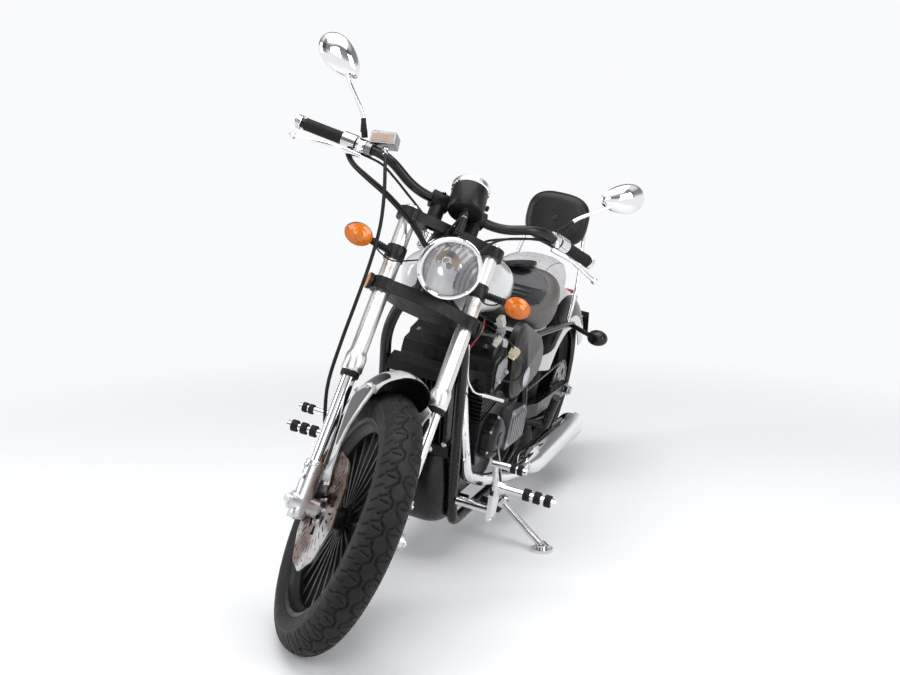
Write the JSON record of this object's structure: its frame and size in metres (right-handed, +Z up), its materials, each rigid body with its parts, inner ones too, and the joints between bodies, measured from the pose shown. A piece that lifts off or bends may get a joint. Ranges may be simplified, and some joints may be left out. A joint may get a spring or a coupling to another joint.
{
  "type": "cruiser motorcycle",
  "caption": "Low cruiser motorcycle with raked fork, wide bars, round headlight, stepped seat and backrest, parked on its side stand with the steering at the left stop.",
  "frame": {"origin": "on the floor below the middle of the object's box", "axes": "+Z up, the front of the motorcycle faces -Y, its left side is +X"},
  "size_m": [0.9468, 2.2542, 1.444],
  "materials": {
    "tyre_rubber": "matt black rubber",
    "wheel_black": "satin black paint on cast alloy",
    "disc_steel": "ground steel",
    "drive_steel": "oiled steel",
    "fork_aluminium": "polished",
    "fork_chrome": "bright hard chrome",
    "cast_aluminium": "satin cast",
    "black_metal": "satin black paint",
    "black_rubber": "moulded rubber",
    "mirror_glass": "silvered glass",
    "black_plastic": "fine grain",
    "clear_glass": "clear pressed lens",
    "amber_plastic": "clear amber",
    "red_plastic": "clear red",
    "white_paint": "gloss lacquer",
    "engine_black": "satin black paint on castings",
    "grey_casting": "satin grey casting",
    "side_cover_grey": "satin dark grey",
    "exhaust_chrome": "bright chrome",
    "taupe_leather": "soft grained",
    "pillion_leather": "soft grained",
    "black_leather": "soft grained"
  },
  "bodies": {
    "chassis": {"frame": "black_metal", "engine_block": "engine_black", "cylinder_head": "engine_black", "engine_covers": "engine_black", "sprocket_cover": "grey_casting", "side_covers": "side_cover_grey", "radiator": "black_plastic", "belly_pan": "black_plastic", "fuel_tank": "white_paint", "fuel_cap": "fork_chrome", "seat": "taupe_leather", "passenger_seat": "pillion_leather", "backrest_pad": "black_leather", "sissy_bar": "fork_chrome", "rear_fender": "white_paint", "tail_light": "red_plastic", "rear_signals": "black_plastic", "swingarm": "black_metal", "exhaust": "exhaust_chrome", "mufflers": "exhaust_chrome", "foot_controls": "fork_chrome", "peg_rubbers": "black_rubber", "passenger_pegs": "fork_chrome", "plate_bracket": "black_metal", "rear_caliper": "black_metal", "drive_chain": "drive_steel"},
    "steering": {"fork_tubes": "fork_aluminium", "fork_lowers": "fork_chrome", "fork_bottoms": "cast_aluminium", "upper_clamp": "black_metal", "lower_clamp": "black_metal", "handlebar": "black_metal", "grips": "black_rubber", "levers": "fork_chrome", "hand_controls": "black_metal", "master_cylinder": "fork_chrome", "mirrors": "fork_chrome", "mirror_glasses": "mirror_glass", "speedometer": "black_plastic", "headlight_shell": "fork_chrome", "headlight_lens": "clear_glass", "signal_stalks": "black_rubber", "signal_lenses": "amber_plastic", "front_fender": "white_paint", "fender_stays": "fork_chrome", "front_caliper": "black_metal", "brake_hose": "black_rubber"},
    "front_wheel_set": {"front_tyre": "tyre_rubber", "front_wheel": "wheel_black", "front_disc": "disc_steel"},
    "rear_wheel_set": {"rear_tyre": "tyre_rubber", "rear_wheel": "wheel_black", "rear_disc": "disc_steel", "rear_sprocket": "drive_steel"},
    "stand": {"side_stand": "fork_chrome"}
  },
  "joints": [
    {"name": "steering_turn", "type": "hinge", "parent": "chassis", "child": "steering", "pos_m": [0.02, -0.49716, 0.79704], "axis": [-0.1615, -0.5068, -0.8468], "range_deg": [0, 70]},
    {"name": "front_wheel_spin", "type": "hinge", "parent": "steering", "child": "front_wheel_set", "pos_m": [-0.04807, -0.833, 0.30247], "axis": [0.7502, 0.4945, -0.439], "continuous": true},
    {"name": "rear_wheel_spin", "type": "hinge", "parent": "chassis", "child": "rear_wheel_set", "pos_m": [-0.07217, 0.78003, 0.31387], "axis": [0.9823, 0, -0.1874], "continuous": true},
    {"name": "stand_fold", "type": "hinge", "parent": "chassis", "child": "stand", "pos_m": [0.07946, -0.00846, 0.12147], "axis": [0.6103, -0.0311, 0.7915], "range_deg": [0, 101.81]}
  ]
}
